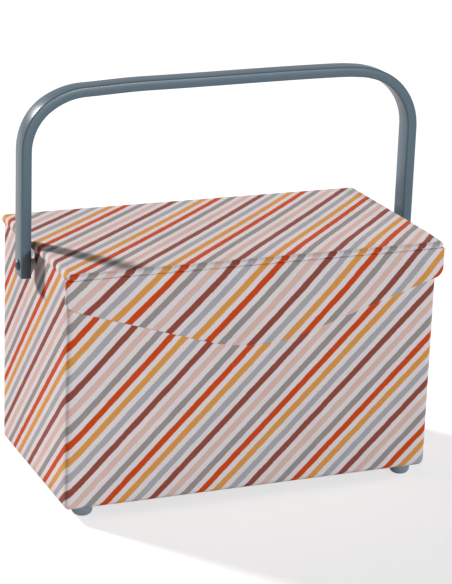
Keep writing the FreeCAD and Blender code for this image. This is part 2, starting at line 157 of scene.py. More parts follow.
# The flap's outline, and the two strips of cloth that bend
FLAP_SLOPE = math.radians(17.6)
FLAP_NOSE_RADIUS = 0.142
FLAP_CORNER_RADIUS = 0.008
FLAP_EDGE_ROUND = 0.0009
BLOCK_SPARE = 0.01
NOSE_STEPS = 18
CORNER_STEPS = 6
NOSE_HEIGHT = 0.02
CREASE_OVERLAP = 0.0006
HINGE_PROUD = 0.0003

# Rows that the cloth is cut into, and how far the outer ones lie from its edges
LONG_ROWS = 12
BODY_SHORT_ROWS = 7
BODY_ROW_INSET = 0.012
LID_ROW_INSET = 0.015
DIP_ROWS = 9
DIP_ROWS_FROM = 0.006
DIP_ROWS_TO = 0.054
BACK_ROWS = 5
BACK_ROWS_FROM = 0.070
BACK_ROWS_INSET = 0.012
FLAP_ROWS = 5
FLAP_ROWS_FROM = 0.006
FLAP_ROWS_TO = 0.030
CREASE_ROWS = 5
HINGE_ROWS = 12

# How much taller the rounded block is than the boards that it rounds, so that one edge of each stays sharp
SHARP_EDGE_SPARE = 0.1

# Linings and pads. Lumps and channel go by the rise of a pad's crown.
LINING_CARD = 0.0008
LINING_EDGE = 0.0003
LINING_ROWS = 12
PAD_EDGE = 0.0012
PAD_SHOULDER = 0.030
PAD_FULLNESS = 2.5
PAD_LUMPS = 0.25
PAD_LUMPS_PER_METRE = 28
CHANNEL_WIDTH = 0.0018
CHANNEL_DEPTH = 1.6

# The gathered pocket and its elastic band
POCKET_CLOTH = 0.0004
POCKET_CELLS = 190
POCKET_ROWS = 60
POCKET_SHOULDER = 0.7
POCKET_STAND_OFF = 0.0007
POCKET_PUFF = 0.0042
POCKET_SIDE_ROOM = 0.012
POCKET_END_ROOM = 0.016
FOLD_REPEAT = 0.0072
FOLD_HEIGHT = 0.0012
FOLD_FALL = 0.030
FOLD_LEAST = 0.22
FOLD_SHIFT = 2.2
FOLD_SHIFTS_PER_METRE = 45
FOLD_WAVER = 1.6
FOLD_WAVERS_PER_METRE = 40
ELASTIC_CLOTH = 0.0006
ELASTIC_ROWS = 10
ELASTIC_WIDTH = 0.0075
ELASTIC_PROUD = 0.0006

# Pincushion, and the felt under the base
PINCUSHION_CORNER = 0.010
PINCUSHION_EDGE = 0.002
PINCUSHION_CELL = 0.0016
STUFFING_ROOM = 0.0025
STUFFING_CAP = 0.0022
STUFFING_PRESSURE = 2.5
FILLING_FRAMES = 20
FELT_PROUD = 0.0001
FELT_CORNER = 0.002
FELT_EDGE = 0.0002

# Handle
BAND = 0.008
BAND_SWELL = 0.0007
BEND_RADIUS = 0.050
BEND_STEPS = 24
BAR_ROWS = 24
BAND_EDGE = 0.0012

# The top bar sinks after its left bend and rises before its right one. The places say where that begins,
# is full, starts to ease and is gone, from the handle's left end, or from its right end if named so.
BAR_SINK = 0.0024
BAR_SINK_PLACES = (0.0, 0.033, 0.038, 0.100)
BAR_RISE = 0.0019
BAR_RISE_FROM_LEFT = 0.083
BAR_RISE_FROM_RIGHT = (0.078, 0.066, 0.036)

# Spacers and feet
SPACER_RADIUS = 0.0042
SPACER_EDGE = 0.0004
FOOT_RADIUS = 0.008
FOOT_EDGE = 0.0045
FOOT_INSET = (0.0165, 0.011)

# Floor, surround and lamps
FLOOR_SIZE = 12
FLOOR_GREY = (0.50, 0.50, 0.50, 1)
FLOOR_GLOW = 0.66
SURROUND_LEVEL = 0.10
SURROUND_MIRRORED = 0.50
LAMP_DISTANCE = 3

# The camera, fitted to the edges of the box in the photograph. It is turned by an azimuth, an elevation and
# a roll in degrees, and stands aside from, above and away from its target. Its lens is given in pixels.
CAMERA_TURNS = (-23.004, 17.916, 2.017)
CAMERA_STAND = (-0.01133, 0.127071, 1.77623)
CAMERA_TARGET = (0, 0.0026, 0.008)
FOCAL_PIXELS = 2213.283
PHOTO_HEIGHT = 584
SENSOR = 36
NEAR_CLIP = 0.05
FAR_CLIP = 50


# Modelling helpers

def only(piece):
    """Leaves one piece selected and active."""
    bpy.ops.object.select_all(action="DESELECT")
    piece.select_set(True)
    bpy.context.view_layer.objects.active = piece


def named(name):
    """Names the piece that has just been added and puts its place into its mesh."""
    piece = bpy.context.object
    bpy.ops.object.transform_apply(location=True, rotation=True, scale=True)
    piece.name = name
    piece.data.name = name
    return piece


def add_block(name, low, high):
    """A block between two corners."""
    low, high = Vector(low), Vector(high)
    bpy.ops.object.select_all(action="DESELECT")
    bpy.ops.mesh.primitive_cube_add(size=1, location=(low + high) / 2)
    bpy.context.object.scale = high - low
    return named(name)


def edit(piece):
    """Opens a piece in edit mode with nothing selected."""
    only(piece)
    bpy.ops.object.mode_set(mode="EDIT")
    bpy.ops.mesh.select_all(action="DESELECT")


def close_edit():
    bpy.ops.object.mode_set(mode="OBJECT")


def pick(piece, kind, test):
    """Selects the edges or faces of an open piece that pass a test."""
    bpy.ops.mesh.select_mode(type=kind)
    bpy.ops.mesh.select_all(action="DESELECT")
    mesh = bmesh.from_edit_mesh(piece.data)
    for part in mesh.edges if kind == "EDGE" else mesh.faces:
        part.select_set(bool(test(part)))
    mesh.select_flush_mode()
    bmesh.update_edit_mesh(piece.data)


def clamp(value, low=0.0, high=1.0):
    return min(max(value, low), high)


def lies_at(part, axis, place):
    """True if every corner of an edge or face has one coordinate at a place."""
    return all(abs(v.co[axis] - place) < NEAR for v in part.verts)


def upright(edge):
    return abs((edge.verts[0].co - edge.verts[1].co).normalized().z) > SQUARE


def bevel(width, segments):
    bpy.ops.mesh.bevel(offset=width, offset_type="OFFSET", segments=segments, profile=0.5,
                       affect="EDGES", clamp_overlap=True)


def turn_in(piece, place, width):
    """Replaces the level face at a height by a hem that runs inwards from its edge."""
    pick(piece, "FACE", lambda f: lies_at(f, 2, place) and abs(f.normal.z) > SQUARE)
    face = next(f for f in bmesh.from_edit_mesh(piece.data).faces if f.select)
    xs, ys = [v.co.x for v in face.verts], [v.co.y for v in face.verts]
    share_x = 1 - 2 * width / (max(xs) - min(xs))
    share_y = 1 - 2 * width / (max(ys) - min(ys))
    centre = ((max(xs) + min(xs)) / 2, (max(ys) + min(ys)) / 2, place)
    bpy.ops.mesh.extrude_region_move(TRANSFORM_OT_translate={"value": (0, 0, 0)})
    bpy.ops.transform.resize(value=(share_x, share_y, 1), center_override=centre)
    bpy.ops.mesh.delete(type="FACE")


def modify(piece, kind, **settings):
    """Adds a modifier and applies it."""
    only(piece)
    modifier = piece.modifiers.new(kind, kind)
    for name, value in settings.items():
        setattr(modifier, name, value)
    bpy.ops.object.modifier_apply(modifier=modifier.name)


def turn_faces_out(piece):
    """Joins a piece's doubled points and points its faces outwards."""
    edit(piece)
    bpy.ops.mesh.select_all(action="SELECT")
    bpy.ops.mesh.remove_doubles(threshold=MERGE)
    bpy.ops.mesh.normals_make_consistent(inside=False)
    close_edit()


def smooth(piece, degrees=40):
    only(piece)
    bpy.ops.object.shade_smooth_by_angle(angle=math.radians(degrees))


def dress(piece, body, finish, slot, stands_for=()):
    """Gives a piece its material and its body, and hides the CAD nodes that it stands for."""
    piece.data.materials.clear()
    piece.data.materials.append(finish)
    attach(piece, body)
    label(piece, slot, stands_for)


def label(piece, slot, stands_for=()):
    """Hides the CAD nodes that a piece stands for. Its slot is not used."""
    if stands_for:
        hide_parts(*stands_for)


def cut_rows(piece, axis, first, last, count):
    """Cuts a piece by evenly spaced planes square to one axis, so that its cloth can drift."""
    edit(piece)
    for step in range(count):
        middle, normal = Vector(), Vector()
        middle[axis] = first + (last - first) * step / (count - 1)
        normal[axis] = 1
        bpy.ops.mesh.select_all(action="SELECT")
        bpy.ops.mesh.bisect(plane_co=middle, plane_no=normal)
    close_edit()


def fade(value, start, end):
    """A share that goes smoothly from 0 to 1 between two values."""
    share = clamp((value - start) / (end - start))
    return share * share * (3 - 2 * share)


def drift(factors, x, y=0.0):
    """How far the print is drawn aside at a place on a face."""
    x, y = x * PER_TENTH, y * PER_TENTH
    terms = (1, x, x * x, y, y * y, x * y)
    return MM * sum(factor * term for factor, term in zip(factors, terms))


def nearest_side(point, low, high):
    """The side of a box that a point lies nearest to, as a direction, and how far in from it."""
    room = {(0, -1): point.y - low.y, (0, 1): high.y - point.y,
            (-1, 0): point.x - low.x, (1, 0): high.x - point.x}
    side = min(room, key=room.get)
    return Vector(side), room[side]


def lay_cloth(piece, place):
    """Gives every corner of every face its place on the flat cloth, in metres."""
    layer = piece.data.uv_layers.get("cloth") or piece.data.uv_layers.new(name="cloth")
    for face in piece.data.polygons:
        for loop in face.loop_indices:
            point = piece.data.vertices[piece.data.loops[loop].vertex_index].co
            layer.data[loop].uv = place(point, face.normal)


def paint_nodes(frame, finish, *nodes):
    """Gives a material to CAD nodes that are shown as they are."""
    for node in nodes:
        mesh = frame["nodes"][node].data
        mesh.materials.clear()
        mesh.materials.append(finish)


def smooth_copy(frame, node, name):
    """A copy of a CAD node with its loose triangles joined and its curves smooth."""
    source = frame["nodes"][node]
    piece = source.copy()
    piece.data = source.data.copy()
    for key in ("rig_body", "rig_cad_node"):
        if key in piece:
            del piece[key]
    bpy.context.scene.collection.objects.link(piece)
    piece.parent = None
    piece.name = name
    piece.data.name = name
    edit(piece)
    bpy.ops.mesh.select_all(action="SELECT")
    bpy.ops.mesh.remove_doubles(threshold=MERGE)
    close_edit()
    smooth(piece, degrees=35)
    return piece


# Materials

class Finish:
    """A material whose nodes are added one by one and joined to its surface shader."""

    def __init__(self, name, roughness, specular=0.5, metallic=0.0, sheen=0.0):
        self.material = bpy.data.materials.new(name)
        self.material.use_nodes = True
        self.tree = self.material.node_tree
        self.surface = self.tree.nodes["Principled BSDF"]
        self.surface.inputs["Roughness"].default_value = roughness
        self.surface.inputs["Specular IOR Level"].default_value = specular
        self.surface.inputs["Metallic"].default_value = metallic
        self.surface.inputs["Sheen Weight"].default_value = sheen
        self.surface.inputs["Sheen Roughness"].default_value = 0.5

    def add(self, kind, inputs=None, **settings):
        """A node with its settings, whose inputs are joined to sockets or set to values."""
        made = self.tree.nodes.new("ShaderNode" + kind)
        for name, value in settings.items():
            setattr(made, name, value)
        for key, value in (inputs or {}).items():
            if isinstance(value, bpy.types.NodeSocket):
                self.tree.links.new(value, made.inputs[key])
            else:
                made.inputs[key].default_value = value
        return made

    def sum(self, kind, *values):
        """The result of a maths node."""
        made = self.add("Math", {i: v for i, v in enumerate(values)}, operation=kind)
        return made.outputs[0]

    def place(self):
        return self.add("TexCoord").outputs["Object"]

    def on_cloth(self):
        return self.add("UVMap", uv_map="cloth").outputs["UV"]

    def grain(self, place, size, detail=3.0, stretch=(1, 1, 1)):
        """Cloudy noise whose blotches are about one size across."""
        if stretch != (1, 1, 1):
            place = self.add("Mapping", {"Vector": place, "Scale": stretch}).outputs[0]
        values = {"Vector": place, "Scale": 1 / size, "Detail": detail, "Roughness": 0.55}
        return self.add("TexNoise", values).outputs["Fac"]

    def ramp(self, value, stops):
        """Colours along a value."""
        made = self.add("ValToRGB", {"Fac": value})
        made.color_ramp.interpolation = "LINEAR"
        elements = made.color_ramp.elements
        while len(elements) < len(stops):
            elements.new(0.5)
        for element, (place, colour) in zip(elements, sorted(stops)):
            element.position = place
            element.color = (*colour, 1)
        return made.outputs["Color"]

    def mix(self, share, first, second, blend="MIX"):
        """Two colours mixed, multiplied or otherwise put together."""
        values = {0: share, 6: first, 7: second}
        values = {k: (*v, 1) if isinstance(v, tuple) and len(v) == 3 else v for k, v in values.items()}
        return self.add("Mix", values, data_type="RGBA", blend_type=blend).outputs[2]

    def between(self, value, low, high):
        """A value from 0 to 1 spread between two numbers."""
        made = self.add("MapRange", {"Value": value, "To Min": low, "To Max": high})
        return made.outputs["Result"]

    def wave(self, place, direction, length):
        """A ripple along one direction with a given length."""
        values = {"Vector": place, "Scale": 2 * math.pi / 20 / length, "Distortion": 0.0}
        made = self.add("TexWave", values, wave_type="BANDS", bands_direction=direction)
        return made.outputs["Fac"]

    def tint(self, colour, value, *stops):
        """A colour multiplied by greys along a value."""
        greys = self.ramp(value, [(place, (level, level, level)) for place, level in stops])
        return self.mix(1.0, colour, greys, "MULTIPLY")

    def paint(self, colour):
        self.tree.links.new(colour, self.surface.inputs["Base Color"])

    def rough(self, value):
        self.tree.links.new(value, self.surface.inputs["Roughness"])

    def bump(self, height, depth, strength):
        made = self.add("Bump", {"Height": height, "Distance": depth, "Strength": strength})
        self.tree.links.new(made.outputs["Normal"], self.surface.inputs["Normal"])


def plain_weave(finish, place, length):
    """Height of crossed threads on a flat cloth, from 0 to 1."""
    across = finish.between(finish.wave(place, "X", length), -1, 1)
    along = finish.between(finish.wave(place, "Y", length), -1, 1)
    return finish.sum("MULTIPLY_ADD", finish.sum("MULTIPLY", across, along), 0.5, 0.5)


def stripe_stops():
    """Ramp stops of the six stripes on their ground, as shares of the repeat."""
    stops = []
    for middle, colour in STRIPES:
        for side in (-1, 1):
            edge = middle + side * STRIPE_WIDTH / 2
            stops.append(((edge - STRIPE_BLUR / 2) / STRIPE_REPEAT, GROUND if side < 0 else colour))
            stops.append(((edge + STRIPE_BLUR / 2) / STRIPE_REPEAT, colour if side < 0 else GROUND))
    wrapped = [(place % 1.0, colour) for place, colour in stops]
    return sorted(wrapped)


def striped_cloth():
    """Cotton with six printed diagonal stripes on an off-white ground."""
    finish = Finish("striped_cloth", 0.85, specular=0.2, sheen=0.03)
    cloth = finish.on_cloth()
    split = finish.add("SeparateXYZ", {"Vector": cloth})
    wander = finish.grain(cloth, PRINT_WANDER_PATCH, detail=2.0)
    wander = finish.between(wander, -PRINT_WANDER, PRINT_WANDER)
    fuzz = finish.grain(cloth, PRINT_FUZZ_PATCH, detail=2.0)
    fuzz = finish.between(fuzz, -PRINT_FUZZ, PRINT_FUZZ)
    run = finish.sum("SUBTRACT", split.outputs["X"], split.outputs["Y"])
    run = finish.sum("ADD", finish.sum("ADD", run, wander), fuzz)
    share = finish.sum("FRACT", finish.sum("DIVIDE", run, STRIPE_REPEAT))
    colour = finish.ramp(share, stripe_stops())
    worn = finish.between(finish.grain(cloth, PRINT_WEAR_PATCH, detail=4.0), -0.45, 0.30)
    worn = finish.sum("MAXIMUM", worn, 0.0)
    colour = finish.mix(worn, colour, GROUND)
    tone = finish.grain(cloth, PRINT_SHADE_PATCH, detail=3.0)
    shade = finish.ramp(tone, [(0.3, (0.95, 0.95, 0.955)), (0.7, (1.0, 1.0, 1.0))])
    colour = finish.mix(1.0, colour, shade, "MULTIPLY")
    weave = plain_weave(finish, cloth, THREAD)
    finish.paint(finish.tint(colour, weave, (0.0, 0.93), (0.6, 1.0)))
    finish.rough(finish.between(finish.grain(cloth, size=0.004), 0.78, 0.92))
    soft = finish.sum("MULTIPLY", finish.grain(cloth, size=0.006, detail=2.0), 1.5)
    finish.bump(finish.sum("ADD", weave, soft), depth=0.00006, strength=0.6)
    return finish.material


def plain_cloth(name, colour, shade):
    """Plain woven cotton on any surface, its threads read from the object's own axes."""
    finish = Finish(name, 0.88, specular=0.2, sheen=0.15)
    place = finish.place()
    across, along, up = (finish.wave(place, direction, LINING_THREAD) for direction in "XYZ")
    threads = finish.sum("ADD", finish.sum("ADD", across, along), up)
    threads = finish.sum("MULTIPLY", threads, 0.33)
    tone = finish.ramp(finish.grain(place, size=0.03, detail=4.0), [(0.3, shade), (0.7, colour)])
    finish.paint(finish.tint(tone, finish.grain(place, size=0.0012, detail=2.0), (0.25, 0.92), (0.75, 1.0)))
    finish.rough(finish.between(finish.grain(place, size=0.005), 0.8, 0.95))
    finish.bump(threads, depth=0.00008, strength=0.6)
    return finish.material


def felt_sheet():
    """Pressed grey felt under the base."""
    finish = Finish("felt_sheet", 0.95, specular=0.15, sheen=0.2)
    place = finish.place()
    fibres = finish.grain(place, size=0.0009, detail=6.0)
    finish.paint(finish.ramp(fibres, [(0.3, (0.19, 0.20, 0.22)), (0.7, (0.31, 0.32, 0.34))]))
    finish.rough(finish.between(finish.grain(place, size=0.01), 0.88, 1.0))
    finish.bump(fibres, depth=0.0002, strength=0.8)
    return finish.material


def grey_board():
    """Grey fibre board with short fibres."""
    finish = Finish("grey_board", 0.85, specular=0.25)
    place = finish.place()
    fibres = finish.grain(place, size=0.0015, detail=6.0, stretch=(1, 1, 3))
    finish.paint(finish.ramp(fibres, [(0.3, (0.48, 0.39, 0.29)), (0.7, (0.62, 0.52, 0.40))]))
    finish.rough(finish.between(fibres, 0.75, 0.95))
    finish.bump(fibres, depth=0.00015, strength=0.6)
    return finish.material


def moulded_plastic(name, colour, shade, roughness):
    """Satin moulded plastic with a fine eroded skin."""
    finish = Finish(name, roughness)
    place = finish.place()
    tone = finish.ramp(finish.grain(place, size=0.06, detail=3.0), [(0.3, shade), (0.7, colour)])
    finish.paint(finish.tint(tone, finish.grain(place, size=0.0009, detail=2.0), (0.3, 0.96), (0.7, 1.0)))
    wear = finish.grain(place, size=0.008, detail=4.0)
    finish.rough(finish.between(wear, roughness - 0.05, roughness + 0.06))
    finish.bump(finish.grain(place, size=0.0006, detail=3.0), depth=0.00004, strength=0.5)
    return finish.material


def metal(name, colour, roughness, metallic=1.0):
    """Plated or painted steel with fine turning marks."""
    finish = Finish(name, roughness, metallic=metallic)
    place = finish.place()
    marks = finish.grain(place, size=0.0008, detail=4.0, stretch=(6, 1, 1))
    dark = tuple(c * 0.85 for c in colour)
    finish.paint(finish.ramp(marks, [(0.3, dark), (0.7, colour)]))
    finish.rough(finish.between(marks, roughness - 0.06, roughness + 0.08))
    finish.bump(marks, depth=0.00002, strength=0.5)
    return finish.material


# Striped cloth

def round_body(low, high):
    """Where a point of the body's cloth lies on the flat cloth, which runs round the four walls."""
    core_low = Vector((low.x + BODY_CORNER, low.y + BODY_CORNER, low.z))
    core_high = Vector((high.x - BODY_CORNER, high.y - BODY_CORNER, high.z))
    depth = core_high.y - core_low.y
    front_ends = math.pi / 4 + TURN_SLACK
    side_ends = 3 * math.pi / 4 + TURN_SLACK

    def place(point, normal):
        core = Vector((clamp(point.x, core_low.x, core_high.x), clamp(point.y, core_low.y, core_high.y)))
        out = Vector((point.x, point.y)) - core
        if out.length < CLOSE:
            out = Vector((normal.x, normal.y))
        inset = 0.0
        if abs(normal.z) > MOSTLY:
            out, inset = nearest_side(point, low, high)
        turn = math.atan2(out.x, -out.y)
        if abs(turn) < front_ends:
            run = core.x
        elif 0 < turn < side_ends:
            run = core_high.x + core.y - core_low.y
        elif -side_ends < turn < 0:
            run = core_low.x - (core.y - core_low.y)
        else:
            turn = turn % (2 * math.pi)
            run = core_high.x + depth + core_high.x - core.x
        run += BODY_CORNER * turn
        rise = point.z - low.z
        if normal.z > MOSTLY:
            rise += inset
        elif normal.z < -MOSTLY and inset > BODY_FOOT_ROUND:
            rise = BODY_FOOT_ROUND * (2 - math.pi / 2) - inset
        elif rise < BODY_FOOT_ROUND:
            rise = BODY_FOOT_ROUND * (1 - math.asin(1 - rise / BODY_FOOT_ROUND))
        share = fade(run, low.x - CORNER_PASSING, low.x + CORNER_PASSING)
        aside = share * drift(FRONT_DRIFT, run, rise) + (1 - share) * drift(LEFT_DRIFT, run - low.x, rise)
        return run + aside * (1 - fade(run, high.x, high.x + RIGHT_SIDE_FADE)), rise

    return place


def make_body_cloth(finish):
    """Striped cloth round the walls, turned in at the mouth and under the base."""
    low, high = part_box("body_cover")
    piece = add_block("body_cloth", low, high)
    edit(piece)
    pick(piece, "EDGE", upright)
    bevel(BODY_CORNER, segments=4)
    pick(piece, "EDGE", lambda e: lies_at(e, 2, low.z))
    bevel(BODY_FOOT_ROUND, segments=3)
    pick(piece, "EDGE", lambda e: lies_at(e, 2, high.z))
    bevel(BODY_RIM_ROUND, segments=3)
    turn_in(piece, high.z, MOUTH_TURN_IN - BODY_RIM_ROUND)
    turn_in(piece, low.z, BASE_TURN_IN - BODY_FOOT_ROUND)
    close_edit()
    for axis, count in enumerate((LONG_ROWS, BODY_SHORT_ROWS, BODY_SHORT_ROWS)):
        cut_rows(piece, axis, low[axis] + BODY_ROW_INSET, high[axis] - BODY_ROW_INSET, count)
    lay_cloth(piece, round_body(low, high))
    modify(piece, "SOLIDIFY", thickness=CLOTH, offset=-1)
    smooth(piece)
    dress(piece, "box", finish, "striped_cloth", ["body_cover"])


def round_off(piece, low, high, radius):
    """Draws every point that would stand out of a rounded block back onto it."""
    for axis in range(3):
        cut_rows(piece, axis, low[axis] + radius, high[axis] - radius, 2)
    for vertex in piece.data.vertices:
        core = Vector([clamp(vertex.co[a], low[a] + radius, high[a] - radius) for a in range(3)])
        reach = vertex.co - core
        if reach.length > radius:
            vertex.co = core + reach * (radius / reach.length)


def make_boards(frame, finish):
    """Copies of the boards with outer edges as round as the cloth over them."""
    around = Vector((CLOTH, CLOTH, CLOTH))
    tall = Vector((0, 0, SHARP_EDGE_SPARE))
    low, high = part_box("body_cover")
    for node, name in (("front_board", "front_wall_board"), ("back_board", "back_wall_board"),
                       ("left_board", "left_wall_board"), ("right_board", "right_wall_board"),
                       ("base_board", "floor_board")):
        piece = smooth_copy(frame, node, name)
        round_off(piece, low + around, high - around + tall, BODY_CORNER - CLOTH)
        dress(piece, "box", finish, "board", [node])
    low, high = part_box("lid_board")
    piece = smooth_copy(frame, "lid_board", "lid_stiff_board")
    round_off(piece, low - tall, high, LID_ROUND - CLOTH)
    dress(piece, "lid", finish, "board", ["lid_board"])


def over_lid(low, high, start):
    """Where a point of the lid's cloth lies on the flat cloth, which is turned half round."""
    def place(point, normal):
        core = Vector((clamp(point.x, low.x + LID_ROUND, high.x - LID_ROUND),
                       clamp(point.y, low.y + LID_ROUND, high.y - LID_ROUND)))
        drop = high.z - point.z
        if normal.z < -MOSTLY:
            out, inset = nearest_side(point, low, high)
            reach = LID_ROUND * (math.pi / 2 - 1) + high.z - low.z + inset
            reach += max(0.0, inset - LID_ROUND)
        else:
            out = Vector((point.x, point.y)) - core
            out = out.normalized() if out.length > MERGE else Vector((0, 0))
            if drop < LID_ROUND:
                reach = LID_ROUND * math.acos(max(-1.0, 1 - drop / LID_ROUND))
            else:
                reach = LID_ROUND * math.pi / 2 + drop - LID_ROUND
        u = core.x + out.x * reach
        v = start + core.y - low.y - LID_ROUND + out.y * reach
        share = 0.5 * (1 - fade(point.y - low.y, 0, CREASE_PASSING)) if normal.z > -MOSTLY else 0.0
        aside = (1 - share) * drift(LID_DRIFT, point.x, point.y - low.y)
        aside += share * drift(FLAP_DRIFT, point.x)
        return TURNED_CLOTH_START - u - aside, -v

    return place


def make_lid_cloth(finish):
    """Striped cloth over the lid board and its wadding, turned under on all sides."""
    low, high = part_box("lid_cover")
    piece = add_block("lid_cloth", low, high)
    edit(piece)
    pick(piece, "EDGE", upright)
    bevel(LID_CORNER, segments=4)
    pick(piece, "EDGE", lambda e: lies_at(e, 2, high.z))
    bevel(LID_ROUND, segments=5)
    pick(piece, "EDGE", lambda e: lies_at(e, 2, low.z))
    bevel(LID_HEM_ROUND, segments=2)
    turn_in(piece, low.z, LID_TURN_IN - LID_HEM_ROUND)
    close_edit()
    cut_rows(piece, 0, low.x + LID_ROW_INSET, high.x - LID_ROW_INSET, LONG_ROWS)
    cut_rows(piece, 1, low.y + DIP_ROWS_FROM, low.y + DIP_ROWS_TO, DIP_ROWS)
    cut_rows(piece, 1, low.y + BACK_ROWS_FROM, high.y - BACK_ROWS_INSET, BACK_ROWS)
    dip_front(piece, low)
    front_drop = LID_ROUND * math.pi / 2 + high.z - low.z - LID_ROUND
    body_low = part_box("body_cover")[0].z
    lay_cloth(piece, over_lid(low, high, low.z - body_low + front_drop))
    modify(piece, "SOLIDIFY", thickness=CLOTH, offset=-1)
    smooth(piece)
    dress(piece, "lid", finish, "striped_cloth", ["lid_cover", "lid_padding"])


def dip_front(piece, low):
    """Lowers the lid's cloth towards its front edge, where the wadding thins out."""
    for vertex in piece.data.vertices:
        share = clamp((low.y + DIP_LENGTH - vertex.co.y) / DIP_LENGTH)
        if vertex.co.z > low.z + DIP_START_HEIGHT:
            vertex.co.z -= FRONT_DIP * share ** 3 * min(1.0, (vertex.co.z - low.z) / DIP_FULL_HEIGHT)


def add_flap_form(name, y_low, y_high, low, high):
    """A solid of the flap's outline between two depths, left open in edit mode."""
    piece = add_block(name, (low.x, y_low, low.z - BLOCK_SPARE), (high.x, y_high, high.z))
    nose_middle = low.z + FLAP_NOSE_RADIUS
    apex = nose_middle - FLAP_NOSE_RADIUS / math.cos(FLAP_SLOPE)
    edit(piece)
    for side in (-1, 1):
        slope = (side * math.sin(FLAP_SLOPE), 0, -math.cos(FLAP_SLOPE))
        bpy.ops.mesh.select_all(action="SELECT")
        bpy.ops.mesh.bisect(plane_co=(0, 0, apex), plane_no=slope, use_fill=True, clear_outer=True)
    pick(piece, "EDGE", lambda e: lies_at(e, 0, 0) and max(v.co.z for v in e.verts) < low.z)
    bevel(FLAP_NOSE_RADIUS * math.tan(FLAP_SLOPE), NOSE_STEPS)
    low_corner = apex + high.x * math.tan(FLAP_SLOPE)
    pick(piece, "EDGE", lambda e: all(
        abs(abs(v.co.x) - high.x) < NEAR and abs(v.co.z - low_corner) < CLOSE for v in e.verts))
    bevel(FLAP_CORNER_RADIUS * math.tan((math.pi / 2 - FLAP_SLOPE) / 2), CORNER_STEPS)
    close_edit()
    for vertex in piece.data.vertices:
        if abs(vertex.co.x) < FLAP_NOSE_RADIUS * math.sin(FLAP_SLOPE) and vertex.co.z < low.z + NOSE_HEIGHT:
            vertex.co.z = nose_middle - math.sqrt(FLAP_NOSE_RADIUS ** 2 - vertex.co.x ** 2)
    edit(piece)
    return piece


def down_flap(low, start, crease):
    """Where a point of the flap's cloth lies on the flat cloth: its edges are unfolded outwards."""
    def place(point, normal):
        behind = point.y - low.y
        share = 0.5 * (1 - fade(crease - point.z, 0, CREASE_PASSING))
        aside = (1 - share) * drift(FLAP_DRIFT, point.x) + share * drift(LID_DRIFT, point.x)
        u = point.x + normal.x * behind + aside
        v = point.z - start + normal.z * behind
        return TURNED_CLOTH_START - u, -v

    return place


def make_flap_cloth(finish):
    """Striped cloth over the front and edges of the flap board."""
    low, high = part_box("flap_cover")
    piece = add_flap_form("flap_cloth", low.y, high.y, low, high)
    pick(piece, "EDGE", lambda e: lies_at(e, 1, low.y))
    bevel(FLAP_EDGE_ROUND, segments=3)
    pick(piece, "FACE", lambda f: f.normal.y > SQUARE)
    bpy.ops.mesh.delete(type="FACE")
    close_edit()
    cut_rows(piece, 0, low.x + LID_ROW_INSET, high.x - LID_ROW_INSET, LONG_ROWS)
    cut_rows(piece, 2, high.z - FLAP_ROWS_TO, high.z - FLAP_ROWS_FROM, FLAP_ROWS)
    lay_cloth(piece, down_flap(low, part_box("body_cover")[0].z, high.z))
    modify(piece, "SOLIDIFY", thickness=CLOTH, offset=-1)
    smooth(piece)
    dress(piece, "flap", finish, "striped_cloth", ["flap_cover"])


def make_flap_lining(finish):
    """Plain cloth glued to the inner side of the flap."""
    low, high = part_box("flap_lining")
    piece = add_flap_form("flap_lining_cloth", low.y, high.y, low, high)
    close_edit()
    smooth(piece)
    dress(piece, "flap", finish, "plain_cloth", ["flap_lining"])


def strip_rows(piece, cuts):
    """Cuts a piece's upright edges into level rows."""
    edit(piece)
    pick(piece, "EDGE", upright)
    bpy.ops.mesh.subdivide(number_cuts=cuts)
    close_edit()


def make_crease_cloth(finish):
    """The web of cloth between lid and flap."""
    low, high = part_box("flap_hinge_cloth")
    overlap = Vector((0, 0, CREASE_OVERLAP))
    piece = add_block("crease_cloth", Vector((low.x, high.y - CLOTH, low.z)) - overlap, high + overlap)
    strip_rows(piece, CREASE_ROWS)
    cut_rows(piece, 0, low.x + LID_ROW_INSET, high.x - LID_ROW_INSET, LONG_ROWS)
    lay_cloth(piece, down_flap(low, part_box("body_cover")[0].z, high.z))
    piece.data.materials.append(finish)
    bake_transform(piece)
    label(piece, "striped_cloth", ["flap_hinge_cloth"])


def make_hinge_cloth(finish):
    """The strip of striped cloth behind the box that the lid hinges on."""
    low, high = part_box("lid_hinge_cloth")
    piece = add_block("hinge_cloth", (low.x, low.y, low.z), (high.x, high.y + HINGE_PROUD, high.z))
    strip_rows(piece, HINGE_ROWS)
    body_low, body_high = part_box("body_cover")
    lay_cloth(piece, round_body(body_low, body_high))
    piece.data.materials.append(finish)
    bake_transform(piece)
    label(piece, "striped_cloth", ["lid_hinge_cloth"])


# Linings and pads

def add_pad(name, low, high, corner, edge, cell):
    """A closed slab whose two faces are grids, with rounded corners and edges."""
    low, high = Vector(low), Vector(high)
    size = high - low
    bpy.ops.object.select_all(action="DESELECT")
    middle = ((low.x + high.x) / 2, (low.y + high.y) / 2, low.z)
    across, along = round(size.x / cell), round(size.y / cell)
    bpy.ops.mesh.primitive_grid_add(x_subdivisions=across, y_subdivisions=along, size=1, location=middle)
    bpy.context.object.scale = (size.x, size.y, 1)
    piece = named(name)
    edit(piece)
    bpy.ops.mesh.select_all(action="SELECT")
    bpy.ops.mesh.extrude_region_move(TRANSFORM_OT_translate={"value": (0, 0, size.z)})
    close_edit()
    turn_faces_out(piece)
    edit(piece)
    pick(piece, "EDGE", upright)
    bevel(corner, segments=3)

    def on_rim(vertex):
        return any(abs(vertex.co[axis] - end[axis]) < corner + NEAR
                   for axis in (0, 1) for end in (low, high))

    def is_outer(bend):
        level = lies_at(bend, 2, low.z) or lies_at(bend, 2, high.z)
        return abs(bend.calc_face_angle(0)) > 1 and level and all(on_rim(vertex) for vertex in bend.verts)

    pick(piece, "EDGE", is_outer)
    bevel(edge, segments=3)
    close_edit()
    return piece


